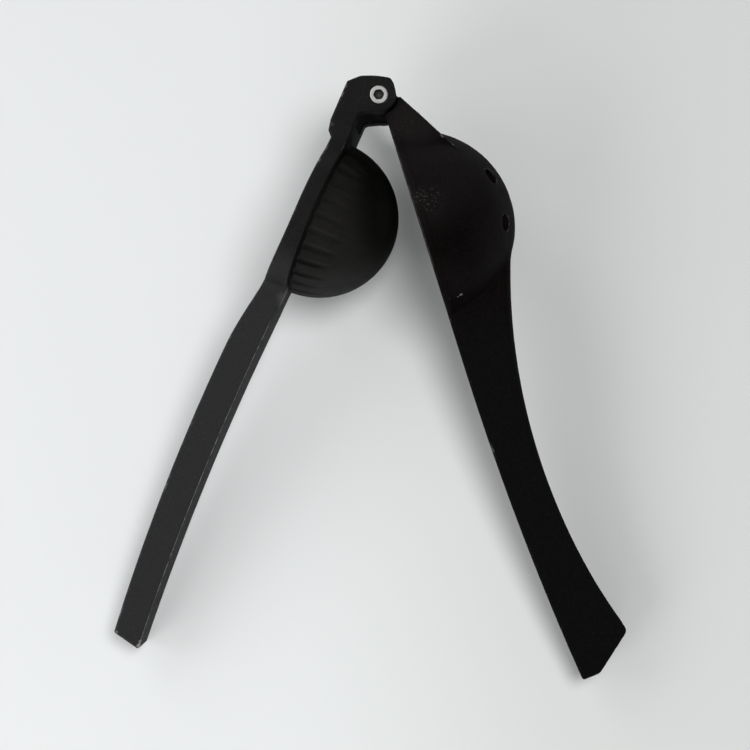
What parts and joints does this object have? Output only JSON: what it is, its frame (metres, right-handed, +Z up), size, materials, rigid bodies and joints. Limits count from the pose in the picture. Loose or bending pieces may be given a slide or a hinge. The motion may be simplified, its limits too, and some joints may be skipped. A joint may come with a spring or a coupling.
{
  "type": "hinged lemon squeezer",
  "caption": "Two-lever citrus press: a ribbed dome on one lever swings into a bowl with juice holes on the other, round a pin at one end.",
  "frame": {"origin": "centre of the hinge, on the squeezer's middle plane", "axes": "the squeezer lies on its side on a level surface: +Z is up, +Y points from the handles' tips towards the hinge, and +X from the plunger lever towards the bowl lever"},
  "size_m": [0.1808, 0.212, 0.0694],
  "materials": {
    "powder_coat": "satin black powder coat on cast aluminium, with worn edges",
    "steel": "bright turned steel",
    "nylon": "natural nylon"
  },
  "bodies": {
    "bowl_side": {"bowl_lever": "powder_coat"},
    "plunger_side": {"plunger_lever": "powder_coat", "plunger_dome": "powder_coat", "dome_screws": "steel", "hinge_barrel": "steel", "hinge_screw": "steel", "near_washer": "nylon", "far_washer": "nylon"}
  },
  "joints": [
    {"name": "lever_hinge", "type": "hinge", "parent": "bowl_side", "child": "plunger_side", "pos_m": [0, 0, 0], "axis": [0.0121, 0.1768, -0.9842], "range_deg": [-40.8, 46.2]}
  ]
}
